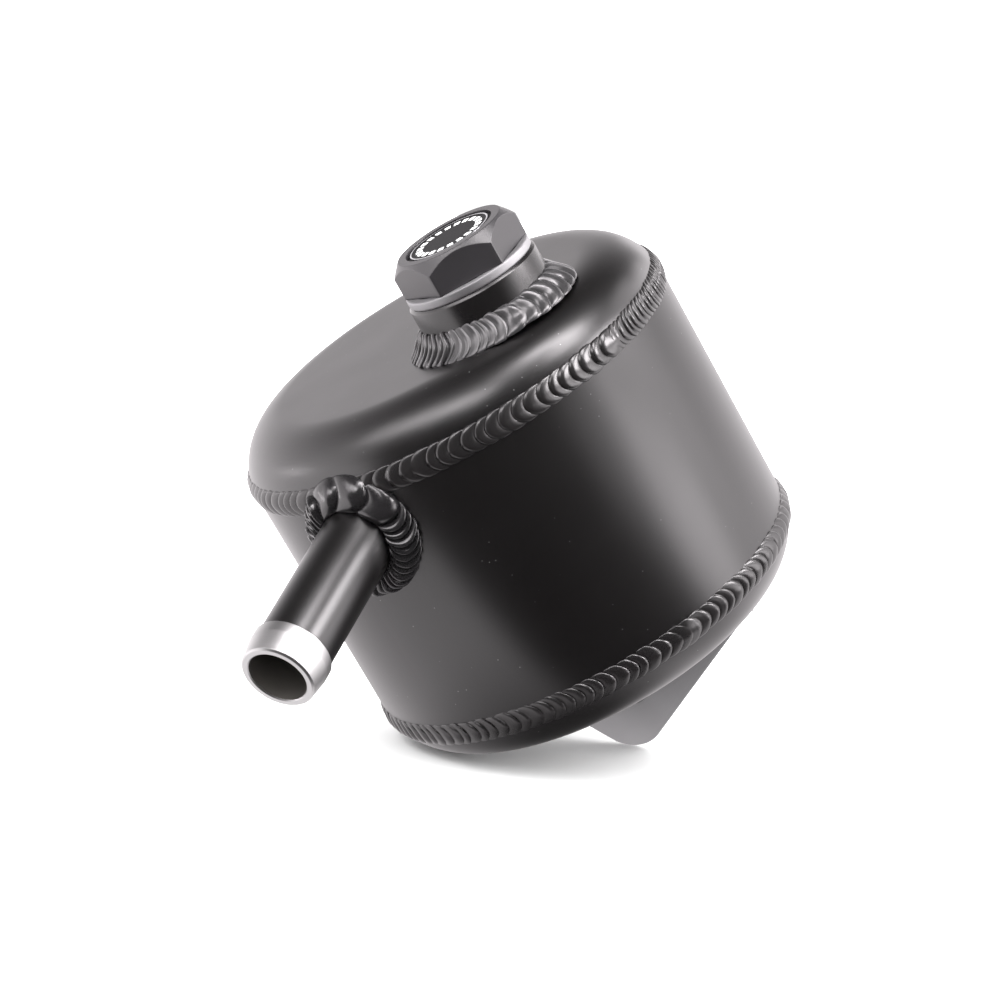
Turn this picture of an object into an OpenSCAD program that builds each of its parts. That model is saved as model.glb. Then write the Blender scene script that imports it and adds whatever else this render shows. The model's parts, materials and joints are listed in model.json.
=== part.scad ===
// Oil catch can: a welded aluminium canister with a screwed filler plug, two hose tails and a mounting tab.
// The frame's origin is the centre of the tab's bolt hole, on the can's own axis. +Z points at the filler plug.

/* [Can] */
// Outside diameter of the tube that makes the wall
can_od = 101.6; // [90:0.1:120]
// Thickness of the tube and of both pressed caps
wall = 3; // [2:0.1:4]
// Height of the tube, from one weld seam to the other
tube_h = 61; // [50:0.5:90]
// How far each cap stands beyond its seam
cap_rise = 11.7; // [10:0.1:13.5]
// Outer radius of the rounded edge of each cap
knuckle_r = 14.3; // [14:0.1:16]

/* [Filler boss] */
// Distance from the can's wall to the boss's axis
boss_inset = 27.3; // [27:0.1:35]
// Direction of the boss from the can's axis, in degrees
boss_az = -25; // [-180:1:180]
// Outside diameter of the boss
boss_od = 30; // [28:0.5:34]
// Height of the boss above the cap
boss_h = 10.5; // [9:0.5:16]

/* [Filler plug] */
// Thread diameter of the plug
thread_d = 22; // [20:0.5:23]
// Length of the shank under the hexagon
shank_l = 10; // [8:0.5:11]
// Width of the hexagon across its flats
hex_af = 25.4; // [25:0.1:28]
// Height of the hexagon
hex_h = 7.8; // [6:0.1:10]
// Turn of the hexagon when the plug is tight, in degrees
hex_turn = 27; // [0:1:59]
// Depth of the round recess in the plug's top
recess_depth = 0.8; // [0.6:0.1:1.5]
// Thickness of the sealing washer
washer_t = 2; // [1.5:0.1:2.5]

/* [Hose tails] */
// Outside diameter of the tube of a hose tail
tail_od = 16; // [14:0.5:18]
// Bore of a hose tail
tail_bore = 12.7; // [10:0.1:13]
// Distance from the can's axis to the mouth, along the tail
tail_end = 94; // [80:1:120]
// Downward slope of a tail, in degrees
tail_slope = 10; // [0:1:12]
// Height of a tail's axis below the top seam, where it would cross the can's axis
tail_drop = 0.8; // [0:0.1:6]
// Direction of the inlet tail from the can's axis, in degrees
inlet_az = 259; // [240:1:280]
// Direction of the outlet tail from the can's axis, in degrees
outlet_az = 139; // [100:1:180]
// Largest diameter of the machined tip that holds the hose
tip_d = 17.3; // [16.5:0.1:19]
// Length of the machined tip
tip_l = 8; // [6:0.5:12]

/* [Mounting tab] */
// Thickness of the tab's plate
tab_t = 3; // [2:0.5:5]
// Diameter of the tab's bolt hole
tab_hole_d = 8.4; // [6.4:0.1:8.6]
// Depth of the bolt hole below the can's base
tab_hole_drop = 11.5; // [11:0.5:16]
// Radius of the tab's rounded tip
tab_tip_r = 8.4; // [6:0.1:12]
// Centre of the rounded tip, sideways and down from the bolt hole
tab_tip_x = -4.2; // [-6:0.1:6]
tab_tip_drop = 6.6; // [4:0.1:12]
// Slope of the tab's long edge and of its short edge, in degrees
tab_long_slope = 32; // [28:1:40]
tab_short_slope = 54; // [45:1:70]

/* [Welds] */
// Width of the bead on each seam
seam_bead_w = 6; // [4:0.1:8]
// How far a seam bead stands out from the wall
seam_bead_h = 0.9; // [0.5:0.1:1.5]
// Distance from one ripple to the next
ripple_pitch = 2.7; // [2:0.1:4]
// Depth of the valley between two ripples, as a share of the bead's height
ripple_depth = 0.45; // [0.2:0.05:0.7]
// Width of the bead round the boss, on the cap
boss_bead_w = 4.9; // [3:0.1:6]
// Height of the bead round the boss
boss_bead_h = 5.2; // [3:0.1:7]
// Outer radius of the bead round a hose tail, on the can's wall
tail_bead_r = 13.7; // [12:0.1:15]
// How far that bead climbs the tail, beyond the wall
tail_bead_h = 3.6; // [2:0.1:5]
// Width and height of the bead along the tab's root
tab_bead_w = 3.2; // [2:0.1:4]

/* [Baffle] */
// Height of the perforated baffle above the base
baffle_z = 44; // [35:1:46]
// Thickness of the baffle
baffle_t = 2; // [1:0.5:3]
// Diameter of the baffle's holes
baffle_hole_d = 6; // [4:0.5:7]
// Leg of the short fillets that hold the baffle
tack_leg = 2.5; // [1.5:0.1:4]
// Length of each of these fillets
tack_l = 8; // [4:0.5:14]

/* [Hidden] */
$fn = 96;
slip = 0.05;
fusion = 0.4;
can_r = can_od / 2;
flat_r = can_r - sqrt(cap_rise * (2 * knuckle_r - cap_rise));
bore_r = can_r - wall;
base_z = tab_hole_drop;
seam_low_z = base_z + cap_rise;
seam_top_z = seam_low_z + tube_h;
top_z = seam_top_z + cap_rise;
boss_top_z = top_z + boss_h;
hex_z = boss_top_z + washer_t;
boss_at = (can_r - boss_inset) * [cos(boss_az), sin(boss_az)];
boss_r = boss_od / 2;
boss_neck_r = boss_r - 1.5;
boss_chamfer = 0.6;
neck_below = 1;
thread_r = thread_d / 2;
hex_corner_r = hex_af / sqrt(3);
hex_rim_r = hex_af / 2 - 0.5;
hex_bevel_h = 2.9;
recess_r = hex_rim_r - 2;
washer_r = boss_r - 0.4;
washer_seal_r = thread_r + 1.7;
tail_cross_z = seam_top_z - tail_drop;
tail_r = tail_od / 2;
tail_inner_end = bore_r - 1;
tab_tip = [tab_tip_x, -tab_tip_drop];
long_touch = tab_tip + tab_tip_r * [sin(tab_long_slope), -cos(tab_long_slope)];
short_touch = tab_tip + tab_tip_r * [-sin(tab_short_slope), -cos(tab_short_slope)];
baffle_top_z = base_z + baffle_z + baffle_t;
across = [-1, -0.72, -0.3, 0.3, 0.72, 1];
black = "#1d1d20";
weld_black = "#2c2c30";
bare = "#c9cbce";
rubber_black = "#101012";
steel = "#b4b6ba";

// Half outline of a cap that stands on its seam at height 0, as wide as the can and inset by a thickness.
module cap_outline(inset) {
    rise = cap_rise - inset;
    intersection() {
        square([can_r, rise]);
        union() {
            square([flat_r, rise]);
            translate([flat_r, cap_rise - knuckle_r]) circle(r = knuckle_r - inset);
        }
    }
}

// A pressed cap, dished upwards from its seam.
module cap_shell() {
    rotate_extrude()
        difference() {
            cap_outline(0);
            cap_outline(wall);
        }
}

// The can's whole outer form, used to trim what is welded to it.
module can_form() {
    translate([0, 0, seam_low_z]) cylinder(r = can_r, h = tube_h);
    translate([0, 0, seam_top_z]) rotate_extrude() cap_outline(0);
    translate([0, 0, seam_low_z]) mirror([0, 0, 1]) rotate_extrude() cap_outline(0);
}

// Moves its children from the can's axis to the frame of a hose tail, whose +Z runs out along the tail.
module on_tail(az) {
    translate([0, 0, tail_cross_z]) rotate([0, 0, az]) rotate([0, 90 + tail_slope, 0]) children();
}

module can_body() {
    color(black)
        difference() {
            translate([0, 0, seam_low_z]) cylinder(r = can_r, h = tube_h);
            translate([0, 0, seam_low_z - 1]) cylinder(r = bore_r, h = tube_h + 2);
            for (az = [inlet_az, outlet_az]) on_tail(az) cylinder(r = tail_r + slip, h = can_r * 2);
        }
}

module top_cap() {
    color(black)
        difference() {
            translate([0, 0, seam_top_z]) cap_shell();
            translate([boss_at[0], boss_at[1], seam_top_z]) cylinder(r = boss_neck_r + slip, h = cap_rise + 1);
        }
}

module bottom_cap() {
    color(black) translate([0, 0, seam_low_z]) mirror([0, 0, 1]) cap_shell();
}

module filler_boss() {
    color(black)
        translate([boss_at[0], boss_at[1], 0])
            difference() {
                union() {
                    translate([0, 0, top_z - wall - neck_below])
                        cylinder(r = boss_neck_r, h = wall + neck_below + boss_chamfer);
                    translate([0, 0, top_z]) cylinder(r = boss_r, h = boss_h - boss_chamfer);
                    translate([0, 0, boss_top_z - boss_chamfer])
                        cylinder(r1 = boss_r, r2 = boss_r - boss_chamfer, h = boss_chamfer);
                }
                translate([0, 0, top_z - wall - 2 * neck_below])
                    cylinder(r = thread_r + slip, h = boss_h + wall + 4 * neck_below);
            }
}

// The plug: a bevelled hexagon with a round recess, over a shank with a lead-in and an undercut.
module filler_plug() {
    lead = 1.2;
    undercut = 0.9;
    over = 1;
    cone_r = hex_corner_r + over;
    cone_h = hex_bevel_h * (cone_r - hex_rim_r) / (hex_corner_r - hex_rim_r);
    color(black)
        translate([boss_at[0], boss_at[1], hex_z])
            union() {
                difference() {
                    intersection() {
                        rotate([0, 0, hex_turn]) cylinder(r = hex_corner_r, h = hex_h, $fn = 6);
                        union() {
                            cylinder(r = cone_r, h = hex_h - cone_h);
                            translate([0, 0, hex_h - cone_h]) cylinder(r1 = cone_r, r2 = hex_rim_r, h = cone_h);
                        }
                    }
                    translate([0, 0, hex_h - recess_depth]) cylinder(r = recess_r, h = recess_depth + 1);
                }
                translate([0, 0, -washer_t]) cylinder(r = thread_r, h = washer_t);
                translate([0, 0, -washer_t - undercut]) cylinder(r = thread_r - 1, h = undercut);
                translate([0, 0, -shank_l + lead])
                    cylinder(r = thread_r, h = shank_l - lead - washer_t - undercut);
                translate([0, 0, -shank_l]) cylinder(r1 = thread_r - lead, r2 = thread_r, h = lead);
            }
}

// The plain disc that fills the floor of the plug's recess.
module plug_disc() {
    disc_t = 0.5;
    color(weld_black)
        translate([boss_at[0], boss_at[1], hex_z + hex_h - recess_depth]) cylinder(r = recess_r - 0.1, h = disc_t);
}

module plug_washer() {
    color(bare)
        translate([boss_at[0], boss_at[1], boss_top_z])
            difference() {
                cylinder(r = washer_r, h = washer_t);
                translate([0, 0, -1]) cylinder(r = washer_seal_r, h = washer_t + 2);
            }
}

module washer_seal() {
    color(rubber_black)
        translate([boss_at[0], boss_at[1], boss_top_z])
            difference() {
                cylinder(r = washer_seal_r, h = washer_t);
                translate([0, 0, -1]) cylinder(r = thread_r + slip, h = washer_t + 2);
            }
}

// A hose tail: a plain tube with a machined tip that steps out to grip the hose and narrows to the mouth.
module tail_tube(az) {
    step = 0.5;
    band = 2.4;
    mouth_bevel = 0.4;
    on_tail(az)
        color(black)
            difference() {
                union() {
                    translate([0, 0, tail_inner_end]) cylinder(r = tail_r, h = tail_end - mouth_bevel - tail_inner_end);
                    translate([0, 0, tail_end - tip_l]) cylinder(r1 = tail_r, r2 = tip_d / 2, h = step);
                    translate([0, 0, tail_end - tip_l + step]) cylinder(r = tip_d / 2, h = band);
                    translate([0, 0, tail_end - tip_l + step + band])
                        cylinder(r1 = tip_d / 2, r2 = tail_r, h = tip_l - step - band - mouth_bevel);
                    translate([0, 0, tail_end - mouth_bevel])
                        cylinder(r1 = tail_r, r2 = tail_r - mouth_bevel, h = mouth_bevel);
                }
                translate([0, 0, tail_inner_end - 1]) cylinder(r = tail_bore / 2, h = tail_end - tail_inner_end + 2);
            }
}

module inlet_tail() {
    tail_tube(inlet_az);
}

module outlet_tail() {
    tail_tube(outlet_az);
}

// Place of the tab's long edge and of its short edge at a height.
function long_edge_x(z) = long_touch[0] + (z - long_touch[1]) / tan(tab_long_slope);
function short_edge_x(z) = short_touch[0] - (z - short_touch[1]) / tan(tab_short_slope);

// The tab: a plate in the XZ plane with one long and one short edge, both tangent to its rounded tip.
module mounting_tab() {
    root = base_z + wall;
    long_root = [long_edge_x(root), root];
    short_root = [short_edge_x(root), root];
    color(black)
        difference() {
            translate([0, tab_t / 2, 0])
                rotate([90, 0, 0])
                    linear_extrude(height = tab_t)
                        union() {
                            polygon([long_root, short_root, short_touch, tab_tip, long_touch]);
                            translate(tab_tip) circle(r = tab_tip_r);
                        }
            can_form();
            rotate([90, 0, 0]) cylinder(d = tab_hole_d, h = tab_t + 2, center = true);
        }
}

module baffle_plate() {
    gap = 0.2;
    rings = [[6, 13], [12, 26], [18, 38.5]];
    color(bare)
        translate([0, 0, base_z + baffle_z])
            difference() {
                cylinder(r = bore_r - gap, h = baffle_t);
                for (ring = rings)
                    for (k = [0 : ring[0] - 1])
                        rotate([0, 0, k * 360 / ring[0]])
                            translate([ring[1], 0, -1]) cylinder(d = baffle_hole_d, h = baffle_t + 2);
            }
}

// Six short fillets that hold the baffle to the wall.
module baffle_tacks() {
    color(steel)
        intersection() {
            translate([0, 0, baffle_top_z])
                rotate_extrude() polygon([[bore_r - tack_leg, 0], [bore_r, 0], [bore_r, tack_leg]]);
            for (k = [0 : 5])
                rotate([0, 0, k * 60 + 30])
                    translate([bore_r - tack_leg - 1, -tack_l / 2, baffle_top_z - 1])
                        cube([tack_leg + 2, tack_l, tack_leg + 2]);
        }
}

// Weld beads are closed skins of point rings. Each ripple has a crest and a valley, and the rings
// are bowed along the bead, so that every ripple is a crescent.

// Height of the bead at a station, as a share of its full height.
function ripple(i) = i % 2 == 0 ? 1 : 1 - ripple_depth;

// Place of a station along the bead, in ripples, bowed by how near the point u (-1 to 1) is to the middle.
function along(i, u) = floor(i / 2) + 0.7 * (i % 2) + 0.8 * (1 - u * u);

// Skin over a closed run of rings, each a list of the same number of points.
module closed_skin(rings) {
    n = len(rings);
    m = len(rings[0]);
    points = [for (ring = rings) each ring];
    faces = [
        for (i = [0 : n - 1])
            for (j = [0 : m - 1])
                let (a = i * m + j, b = i * m + (j + 1) % m, c = (i + 1) % n * m + j, d = (i + 1) % n * m + (j + 1) % m)
                    each [[a, b, d], [a, d, c]]
    ];
    polyhedron(points = points, faces = faces, convexity = 10);
}

// Outer radius of the can at a height.
function can_radius(z) =
    let (over = max(z - seam_top_z, seam_low_z - z) + knuckle_r - cap_rise)
        over < knuckle_r - cap_rise ? can_r
        : flat_r + sqrt(max(0, knuckle_r * knuckle_r - over * over));

// Bead round the can at a seam. It follows the wall and the cap, and its root lies inside them, where it melted in.
module seam_bead(z) {
    count = round(2 * PI * can_r / ripple_pitch);
    step = 360 / count;
    root = seam_bead_w / 2.6;
    color(weld_black)
        closed_skin([
            for (i = [0 : 2 * count - 1])
                concat(
                    [for (u = across)
                        let (
                            a = step * along(i, u),
                            h = z + u * seam_bead_w / 2,
                            r = can_radius(h) - fusion + (seam_bead_h + fusion) * sqrt(1 - u * u * 0.9) * ripple(i)
                        ) [r * cos(a), r * sin(a), h]],
                    [for (side = [1, -1])
                        let (a = step * along(i, side), r = can_radius(z + side * root) - 2 * fusion)
                            [r * cos(a), r * sin(a), z + side * root]]
                )
        ]);
}

// The top bead's ripples run the other way, and it ends where the hose tails pass through the wall.
module top_seam_weld() {
    color(weld_black)
        difference() {
            mirror([0, 1, 0]) seam_bead(seam_top_z);
            for (az = [inlet_az, outlet_az]) on_tail(az) cylinder(r = tail_r + slip, h = can_r * 2);
        }
}

module bottom_seam_weld() {
    seam_bead(seam_low_z);
}

// Fillet point between a foot on a plate and a foot on a wall: w sets the way across, bulge the fullness.
function fillet(w, bulge) = [pow(cos(w * 90), bulge), pow(sin(w * 90), bulge)];

module filler_boss_weld() {
    mid_r = boss_r + boss_bead_w / 2;
    count = round(2 * PI * mid_r / ripple_pitch);
    step = 360 / count;
    foot = boss_r - fusion;
    color(weld_black)
        translate([boss_at[0], boss_at[1], top_z])
            closed_skin([
                for (i = [0 : 2 * count - 1])
                    concat(
                        [for (u = across)
                            let (
                                a = step * along(i, u),
                                f = fillet((u + 1) / 2, 1.1) * (0.8 + 0.2 * ripple(i)),
                                r = boss_r - fusion + (boss_bead_w + fusion) * f[0]
                            ) [r * cos(a), r * sin(a), -fusion + (boss_bead_h + fusion) * f[1]]],
                        [let (a = step * along(i, 1)) [foot * cos(a), foot * sin(a), -fusion]]
                    )
            ]);
}

// A point of the can's skin seen from a hose tail: r from the tail's axis, turned by a about it.
function on_wall(r, a) =
    let (
        side = r * sin(a),
        up = r * cos(a),
        z = tail_cross_z - can_r * tan(tail_slope) + up / cos(tail_slope),
        reach = sqrt(pow(can_radius(z), 2) - side * side)
    ) (reach - up * sin(tail_slope)) / cos(tail_slope);

module tail_bead(az) {
    count = round(2 * PI * (tail_r + tail_bead_r) / 2 / ripple_pitch);
    step = 360 / count;
    foot = tail_r - fusion;
    color(weld_black)
        on_tail(az)
            closed_skin([
                for (i = [0 : 2 * count - 1])
                    concat(
                        [for (u = across)
                            let (
                                a = step * along(i, u),
                                f = fillet((u + 1) / 2, 1.1) * (0.8 + 0.2 * ripple(i)),
                                r = foot + (tail_bead_r - foot) * f[0],
                                t = on_wall(r, a) - fusion + (tail_bead_h + fusion) * f[1]
                            ) [-r * cos(a), r * sin(a), t]],
                        [let (a = step * along(i, 1)) [-foot * cos(a), foot * sin(a), on_wall(foot, a) - fusion]]
                    )
            ]);
}

module inlet_tail_weld() {
    tail_bead(inlet_az);
}

module outlet_tail_weld() {
    tail_bead(outlet_az);
}

// Underside of the can at a distance from its axis.
function under_z(r) =
    let (out = max(0, r - flat_r))
        base_z + knuckle_r - sqrt(max(0, knuckle_r * knuckle_r - out * out));

// One bead runs round the tab's root: along one face, round the end, and back along the other face.
// It ends where the tab is still as deep as the bead.
module tab_weld() {
    left = short_edge_x(base_z - tab_bead_w);
    right = long_edge_x(base_z - tab_bead_w);
    half = tab_t / 2 - fusion;
    run = right - left;
    turn = PI * half;
    total = 2 * run + 2 * turn;
    count = round(total / ripple_pitch);
    function centre(s) =
        s < run ? [left + s, -half, 270]
        : s < run + turn ? let (a = (s - run) / half * 180 / PI) [right + half * sin(a), -half * cos(a), 270 + a]
        : s < 2 * run + turn ? [right - (s - run - turn), half, 90]
        : let (a = (s - 2 * run - turn) / half * 180 / PI) [left - half * sin(a), half * cos(a), 90 + a];
    color(weld_black)
        closed_skin([
            for (i = [0 : 2 * count - 1])
                let (root = centre(total / count * (floor(i / 2) + 0.7 * (i % 2))))
                    concat(
                        [for (u = across)
                            let (
                                f = fillet((u + 1) / 2, 1.1) * (0.8 + 0.2 * ripple(i)),
                                out = (tab_bead_w + fusion) * f[0],
                                x = root[0] + out * cos(root[2]),
                                y = root[1] + out * sin(root[2])
                            ) [x, y, under_z(norm([x, y])) + fusion - (tab_bead_w + fusion) * f[1]]],
                        [[root[0], root[1], under_z(norm([root[0], root[1]])) + fusion]]
                    )
        ]);
}

can_body();
top_cap();
bottom_cap();
top_seam_weld();
bottom_seam_weld();
filler_boss();
filler_boss_weld();
filler_plug();
plug_disc();
plug_washer();
washer_seal();
inlet_tail();
inlet_tail_weld();
outlet_tail();
outlet_tail_weld();
mounting_tab();
tab_weld();
baffle_plate();
baffle_tacks();
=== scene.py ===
import json
import math
import random

import bmesh
import bpy
from mathutils import Matrix, Vector, noise


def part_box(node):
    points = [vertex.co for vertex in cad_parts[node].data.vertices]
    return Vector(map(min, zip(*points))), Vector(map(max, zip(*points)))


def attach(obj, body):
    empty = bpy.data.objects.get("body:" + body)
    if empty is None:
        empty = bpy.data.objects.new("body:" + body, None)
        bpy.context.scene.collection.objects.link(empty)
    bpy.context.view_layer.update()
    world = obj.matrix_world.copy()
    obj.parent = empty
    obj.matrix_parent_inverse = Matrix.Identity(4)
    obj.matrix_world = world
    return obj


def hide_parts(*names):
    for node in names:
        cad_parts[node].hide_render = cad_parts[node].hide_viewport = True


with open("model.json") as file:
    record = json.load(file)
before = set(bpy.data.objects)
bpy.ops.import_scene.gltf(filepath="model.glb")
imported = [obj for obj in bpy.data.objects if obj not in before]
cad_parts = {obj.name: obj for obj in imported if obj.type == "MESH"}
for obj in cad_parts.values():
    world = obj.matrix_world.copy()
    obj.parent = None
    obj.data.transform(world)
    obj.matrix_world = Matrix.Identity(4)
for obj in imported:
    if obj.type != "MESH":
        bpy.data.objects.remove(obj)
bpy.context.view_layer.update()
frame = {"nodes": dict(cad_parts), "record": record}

MM = 0.001
TURN = 2 * math.pi


# Sizes, from the frame and from the drawing of the part

def middle(node):
    low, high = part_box(node)
    return (Vector(low) + Vector(high)) / 2


def mount(name):
    return next(m for m in frame["record"]["mounts"] if m["name"] == name)


wall_low, wall_high = (Vector(corner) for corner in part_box("can_body"))
CAN_R = (wall_high.x - wall_low.x) / 2
SEAM_LOW = wall_low.z
SEAM_TOP = wall_high.z
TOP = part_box("top_cap")[1][2]
WALL = 3 * MM
KNUCKLE_R = 14.3 * MM
CAP_RISE = TOP - SEAM_TOP
FLAT_R = CAN_R - math.sqrt(CAP_RISE * (2 * KNUCKLE_R - CAP_RISE))

BOSS_AT = Vector((middle("filler_boss").x, middle("filler_boss").y, 0))
BOSS_R = (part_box("filler_boss")[1][0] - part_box("filler_boss")[0][0]) / 2
BOSS_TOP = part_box("filler_boss")[1][2]
BOSS_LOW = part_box("filler_boss")[0][2]
BOSS_NECK_R = BOSS_R - 1.5 * MM
BOSS_BEAD_W = 4.9 * MM
BOSS_BEAD_H = 5.2 * MM
SLIP = 0.05 * MM

HEX_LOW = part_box("plug_washer")[1][2]
HEX_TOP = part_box("filler_plug")[1][2]
SHANK_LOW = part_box("filler_plug")[0][2]
HEX_AF = 25.4 * MM
HEX_TURN = math.radians(27)
HEX_CORNER_R = HEX_AF / math.sqrt(3)
HEX_RIM_R = HEX_AF / 2 - 0.5 * MM
HEX_BEVEL_H = 2.9 * MM
RECESS_R = HEX_RIM_R - 2 * MM
RECESS_DEPTH = 0.8 * MM
DISC_T = 0.5 * MM
THREAD_R = 11 * MM
THREAD_PITCH = 1.5 * MM
THREAD_DEPTH = 0.8 * MM
UNDERCUT = 0.9 * MM

WASHER_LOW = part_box("plug_washer")[0][2]
WASHER_R = (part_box("plug_washer")[1][0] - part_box("plug_washer")[0][0]) / 2
SEAL_R = (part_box("washer_seal")[1][0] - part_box("washer_seal")[0][0]) / 2

TAIL_R = 8 * MM
TAIL_BORE_R = mount("inlet_bore")["dims"]["r_mm"] * MM
TAIL_IN = CAN_R - WALL - 1 * MM
TAIL_END = TAIL_IN + mount("inlet_bore")["dims"]["length_mm"] * MM
TAIL_SLOPE = math.asin(-mount("inlet_bore")["axis"][2])
TAIL_CROSS_Z = SEAM_TOP - 0.8 * MM
TIP_R = 8.65 * MM
TIP_L = 8 * MM
TAIL_BEAD_R = 13.7 * MM
TAIL_BEAD_H = 3.6 * MM

SEAM_BEAD_W = 6 * MM
SEAM_BEAD_H = 0.9 * MM
RIPPLE_PITCH = 2.7 * MM
TAIL_RIPPLE_PITCH = 2.1 * MM
ROOT = 0.4 * MM


# The camera stands where the photograph was taken: angles are about the can, in radians

CAMERA_RISE = 0.3541
CAMERA_SIDE = math.radians(30)
CAMERA_YAW = -0.0074
CAMERA_PITCH = 0.042
CAMERA_ROLL = -0.5206
CAMERA_FAR = 13.589 * CAN_R
FOCAL_PX = 3061.6
IMAGE_PX = 1000
SENSOR_MM = 36


def camera_axes():
    """Right, up and ahead of the camera, for a can that stands upright."""
    ahead = Vector((0, math.cos(CAMERA_RISE), -math.sin(CAMERA_RISE)))
    right = Vector((1, 0, 0))
    up = right.cross(ahead)
    ahead = ahead * math.cos(CAMERA_YAW) + right * math.sin(CAMERA_YAW)
    right = ahead.cross(up).normalized()
    ahead = ahead * math.cos(CAMERA_PITCH) + up * math.sin(CAMERA_PITCH)
    up = right.cross(ahead)
    tilted_right = right * math.cos(CAMERA_ROLL) + up * math.sin(CAMERA_ROLL)
    tilted_up = up * math.cos(CAMERA_ROLL) - right * math.sin(CAMERA_ROLL)
    turn = Matrix.Rotation(CAMERA_SIDE, 3, "Z")
    return turn @ tilted_right, turn @ tilted_up, turn @ ahead


RIGHT, UP, AHEAD = camera_axes()
SEAM_MIDDLE = Vector((0, 0, SEAM_LOW))


def make_camera():
    data = bpy.data.cameras.new("camera")
    data.sensor_width = SENSOR_MM
    data.lens = FOCAL_PX / IMAGE_PX * SENSOR_MM
    camera = bpy.data.objects.new("camera", data)
    bpy.context.collection.objects.link(camera)
    away = Vector((0, -math.cos(CAMERA_RISE), math.sin(CAMERA_RISE))) * CAMERA_FAR
    stand = SEAM_MIDDLE + Matrix.Rotation(CAMERA_SIDE, 3, "Z") @ away
    turn = Matrix((RIGHT, UP, -AHEAD)).transposed().to_4x4()
    camera.matrix_world = Matrix.Translation(stand) @ turn
    bpy.context.scene.camera = camera


# The studio: its own axes are right and ahead along the floor, and up from it

# Spans named HEIGHTS or AHEAD are shares of the way up or ahead, from -1 to 1.
# The sky lights rough surfaces, from its strength near the horizon to the one overhead
LOW_SKY = 2.4
HIGH_SKY = 4.6
SKY_HEIGHTS = (0.1, 0.9)
# What the camera sees beyond the floor
BACKDROP = 1.1
# The room that gloss mirrors: dark behind the camera, lit ahead of it, and brightest at the horizon
ROOM_LIGHT = 1.76
ROOM_LEAST = 0.008
ROOM_HEIGHTS = (0, 0.92)
ROOM_AHEAD_SPAN = (-0.55, -0.2)
# Faint tint of the softboxes, of the room and of the light from the floor
TINT = (1, 0.955, 0.975)

# Half the floor's side in metres, and the reflectance that its paper has for the camera
FLOOR_HALF = 6
PAPER = 0.85
# Every other ray meets the floor as a glowing sheet, made weaker near the can as painted shade. Distances
# on the floor are in can radii
MIRRORED_NEAR = 1.25
MIRRORED_FAR = 1.9
MIRRORED_SPAN = (1.5, 4)
# That glow fades under the can, round this spot: a painted shadow
PAINTED_SHADOW_SPOT = (0.05, -0.72)
PAINTED_SHADOW_SPAN = (0.15, 1.05)
PAINTED_SHADOW_LIGHT = 0.09
# Two edges of the floor's painted dark part, a painted dark sheet near the camera, each a point on it and
# the way into the dark, their softness each way, and the share of the light that the dark part lacks
PAINTED_DARK_SIDES = (((-0.3, -1.4), (0.457, -0.889)), ((1, -1.25), (0, -1)))
PAINTED_DARK_EDGE = 0.18
PAINTED_DARK_SHARE = 0.96

# Up in the room and the way to the camera, for a can that stands upright and a camera that looks level
LEVEL_UP = Vector((0.497, 0.297, 0.816))
TO_CAMERA = Vector((0, -0.94, 0.342))
# How far the camera looks down, and how far the floor is rolled about its line of sight
CAMERA_OVER_FLOOR = math.radians(8)
FLOOR_ROLL = math.radians(5.5)

# Softboxes: name, azimuth and height in degrees, distance, width and depth in metres, and radiance
SOFTBOXES = (
    ("right_low", 103, 4, 0.9, 0.4, 0.3, 2.9),
    ("right_front_low", 124, 3, 0.9, 0.4, 0.2, 1),
    ("right_front", 120, 22, 0.9, 0.3, 0.3, 1.5),
    ("right_high", 109, 37, 0.9, 0.4, 0.3, 15),
    ("right_back", 84, 20, 1.0, 0.4, 0.4, 0.9),
    ("back_right", 42, 36, 1.0, 0.4, 0.3, 2.3),
    ("back_right_high", 66, 52, 0.9, 0.4, 0.3, 1.9),
    ("back", 20, 22, 1.2, 0.5, 0.25, 1),
    ("overhead", 160, 71, 0.9, 0.4, 0.12, 16.7),
    ("overhead_right", 140, 60, 0.9, 0.3, 0.25, 11),
    ("overhead_left", -168, 61, 0.9, 0.3, 0.2, 2.6),
    ("left_front", -152, 44, 0.9, 0.3, 0.2, 7),
    ("left", -130, 40, 0.9, 0.3, 0.25, 4.8),
    ("left_back", -110, 35, 0.9, 0.3, 0.25, 2.9),
    ("left_low", -76, 2, 1.2, 0.4, 0.15, 8),
)


def studio_axes():
    turn = Matrix.Rotation(CAMERA_SIDE, 3, "Z")
    up = LEVEL_UP * math.cos(CAMERA_OVER_FLOOR) + TO_CAMERA * math.sin(CAMERA_OVER_FLOOR)
    up = turn @ up.normalized()
    ahead = (AHEAD - AHEAD.dot(up) * up).normalized()
    return ahead.cross(up), ahead, up


ROOM_RIGHT, ROOM_AHEAD, ROOM_UP = studio_axes()

# The floor is rolled off level, to bring both the low cap's edge and the tab's tip near it
FLOOR_UP = Matrix.Rotation(FLOOR_ROLL, 3, ROOM_AHEAD) @ ROOM_UP
FLOOR_RIGHT = ROOM_AHEAD.cross(FLOOR_UP)
FLOOR_DROP = -min(
    FLOOR_UP.dot(shown.matrix_world @ vertex.co - SEAM_MIDDLE)
    for shown in frame["nodes"].values()
    for vertex in shown.data.vertices
)


def in_room(right, ahead, up):
    """A point given in the studio's own axes, from the can's lower seam."""
    return SEAM_MIDDLE + ROOM_RIGHT * right + ROOM_AHEAD * ahead + ROOM_UP * up


def on_floor(right, ahead):
    return SEAM_MIDDLE + FLOOR_RIGHT * right + ROOM_AHEAD * ahead - FLOOR_UP * FLOOR_DROP


def toward(azimuth, height):
    """Direction in the room: azimuth 0 is ahead of the camera and 90 to its right, both in degrees."""
    a = math.radians(azimuth)
    e = math.radians(height)
    return math.sin(a) * math.cos(e), math.cos(a) * math.cos(e), math.sin(e)


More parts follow.
